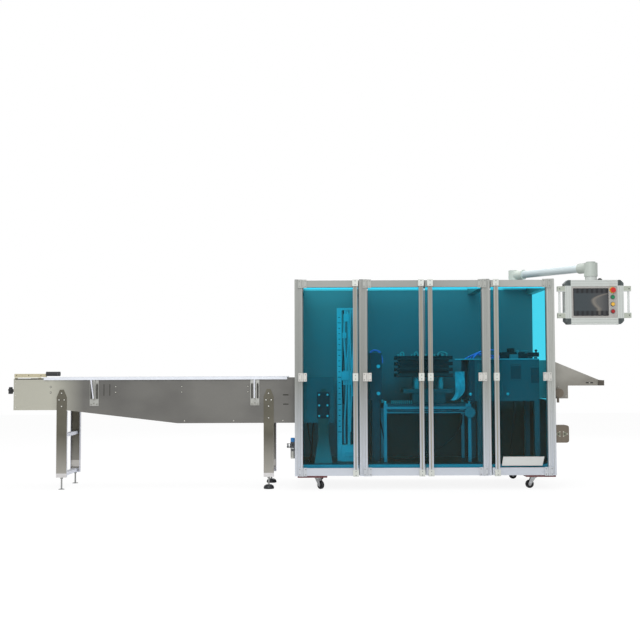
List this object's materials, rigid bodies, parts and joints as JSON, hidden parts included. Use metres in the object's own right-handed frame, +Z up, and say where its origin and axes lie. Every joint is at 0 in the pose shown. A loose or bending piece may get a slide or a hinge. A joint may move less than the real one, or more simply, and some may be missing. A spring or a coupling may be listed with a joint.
{
  "type": "four-side seal packing machine",
  "caption": "Belt infeed conveyor on legs feeding a glazed four-door cabin with film press and sealing station, outfeed chute and an operator panel on a swinging arm.",
  "frame": {"origin": "on the floor under the middle of the whole machine's footprint", "axes": "+X along the line from the infeed to the outfeed, +Y from the doors to the back, +Z up"},
  "size_m": [4.7662, 0.9674, 1.725],
  "materials": {
    "profile_aluminium": "satin anodised",
    "painted_base": "semi-gloss grey paint",
    "sheet_teal_grey": "satin grey paint",
    "stainless": "brushed stainless sheet",
    "rail_white": "white polyethylene",
    "belt": "pale PVC belt",
    "drum_steel": "turned steel",
    "tinted_acrylic": "clear blue tint",
    "white_plastic": "moulded",
    "primer_brown": "red-brown primer",
    "zinc": "bright zinc plating",
    "caster_rubber": "black",
    "black_plastic": "fine grain",
    "tan_bar": "worn",
    "machine_grey": "satin",
    "bright_steel": "ground",
    "bronze_paint": "satin",
    "regulator_body": "die cast",
    "blue_plastic": "moulded",
    "arm_paint": "pale grey powder coat",
    "arm_tube_metal": "satin",
    "panel_grey": "satin silver",
    "corner_dark": "fine grain",
    "screen_black": "glossy",
    "button_red": "moulded"
  },
  "bodies": {
    "machine": {"air_regulator": "regulator_body", "arm_base": "arm_paint", "back_panels": "sheet_teal_grey", "bar_grip": "black_plastic", "base_frame": "painted_base", "caster_plates": "primer_brown", "conveyor_belt": "belt", "conveyor_drums": "drum_steel", "conveyor_legs": "stainless", "conveyor_sides": "stainless", "deck": "painted_base", "drive_sprocket": "drum_steel", "end_panels": "sheet_teal_grey", "film_stand": "machine_grey", "frame_posts": "profile_aluminium", "guide_brackets": "stainless", "guide_rails": "rail_white", "hinge_mounts": "white_plastic", "hold_down_bar": "tan_bar", "inner_legs": "stainless", "levelling_feet": "drum_steel", "outfeed_chute": "stainless", "outfeed_motor": "bronze_paint", "press_stack": "bright_steel", "pull_unit": "machine_grey", "regulator_knob": "blue_plastic", "roof_frame": "profile_aluminium", "seal_head": "machine_grey", "seal_housing": "machine_grey", "socket_box": "bronze_paint", "table_frame": "bright_steel", "tip_roller": "drum_steel"},
    "door_1": {"door_1_frame": "profile_aluminium", "door_1_pane": "tinted_acrylic", "door_1_fittings": "white_plastic"},
    "door_2": {"door_2_frame": "profile_aluminium", "door_2_pane": "tinted_acrylic", "door_2_fittings": "white_plastic"},
    "door_3": {"door_3_frame": "profile_aluminium", "door_3_pane": "tinted_acrylic", "door_3_fittings": "white_plastic"},
    "door_4": {"door_4_frame": "profile_aluminium", "door_4_pane": "tinted_acrylic", "door_4_fittings": "white_plastic"},
    "fork_front_left": {"caster_fork_front_left": "zinc"},
    "wheel_front_left": {"caster_wheel_front_left": "caster_rubber"},
    "fork_front_right": {"caster_fork_front_right": "zinc"},
    "wheel_front_right": {"caster_wheel_front_right": "caster_rubber"},
    "fork_rear_left": {"caster_fork_rear_left": "zinc"},
    "wheel_rear_left": {"caster_wheel_rear_left": "caster_rubber"},
    "fork_rear_right": {"caster_fork_rear_right": "zinc"},
    "wheel_rear_right": {"caster_wheel_rear_right": "caster_rubber"},
    "knob": {"tension_knob": "black_plastic"},
    "arm": {"arm_fittings": "arm_paint", "arm_tube": "arm_tube_metal"},
    "panel": {"panel_case": "panel_grey", "panel_corners": "corner_dark", "panel_screen": "screen_black", "panel_buttons": "button_red", "panel_handles": "panel_grey"}
  },
  "joints": [
    {"name": "door_1_hinge", "type": "hinge", "parent": "machine", "child": "door_1", "pos_m": [-0.1121, -0.42826, 0.852], "axis": [0, 0, -1], "range_deg": [0, 105]},
    {"name": "door_2_hinge", "type": "hinge", "parent": "machine", "child": "door_2", "pos_m": [0.3799, -0.42826, 0.852], "axis": [0, 0, -1], "range_deg": [0, 105]},
    {"name": "door_3_hinge", "type": "hinge", "parent": "machine", "child": "door_3", "pos_m": [1.2579, -0.42826, 0.852], "axis": [0, 0, 1], "range_deg": [0, 105]},
    {"name": "door_4_hinge", "type": "hinge", "parent": "machine", "child": "door_4", "pos_m": [1.7499, -0.42826, 0.852], "axis": [0, 0, 1], "range_deg": [0, 95]},
    {"name": "arm_swing", "type": "hinge", "parent": "machine", "child": "arm", "pos_m": [1.6249, 0.23374, 1.681], "axis": [0, 0, 1], "range_deg": [0, 90]},
    {"name": "panel_swivel", "type": "hinge", "parent": "arm", "child": "panel", "pos_m": [2.0906, -0.41674, 1.583], "axis": [0, 0, 1], "range_deg": [-60, 60]},
    {"name": "swivel_front_left", "type": "hinge", "parent": "machine", "child": "fork_front_left", "pos_m": [0.0029, -0.31626, 0.091], "axis": [0, 0, 1], "continuous": true},
    {"name": "roll_front_left", "type": "hinge", "parent": "fork_front_left", "child": "wheel_front_left", "pos_m": [0.0227, -0.33606, 0.0315], "axis": [-0.7071, -0.7071, 0], "continuous": true},
    {"name": "swivel_front_right", "type": "hinge", "parent": "machine", "child": "fork_front_right", "pos_m": [1.6499, -0.31626, 0.091], "axis": [0, 0, 1], "continuous": true},
    {"name": "roll_front_right", "type": "hinge", "parent": "fork_front_right", "child": "wheel_front_right", "pos_m": [1.6219, -0.31626, 0.0315], "axis": [0, 1, 0], "continuous": true},
    {"name": "swivel_rear_left", "type": "hinge", "parent": "machine", "child": "fork_rear_left", "pos_m": [0.0029, 0.38374, 0.091], "axis": [0, 0, 1], "continuous": true},
    {"name": "roll_rear_left", "type": "hinge", "parent": "fork_rear_left", "child": "wheel_rear_left", "pos_m": [0.0227, 0.36394, 0.0315], "axis": [-0.7071, -0.7071, 0], "continuous": true},
    {"name": "swivel_rear_right", "type": "hinge", "parent": "machine", "child": "fork_rear_right", "pos_m": [1.6499, 0.38374, 0.091], "axis": [0, 0, 1], "continuous": true},
    {"name": "roll_rear_right", "type": "hinge", "parent": "fork_rear_right", "child": "wheel_rear_right", "pos_m": [1.6219, 0.38374, 0.0315], "axis": [0, 1, 0], "continuous": true},
    {"name": "knob_turn", "type": "hinge", "parent": "machine", "child": "knob", "pos_m": [-2.3371, -0.27326, 0.756], "axis": [1, 0, 0], "continuous": true}
  ]
}
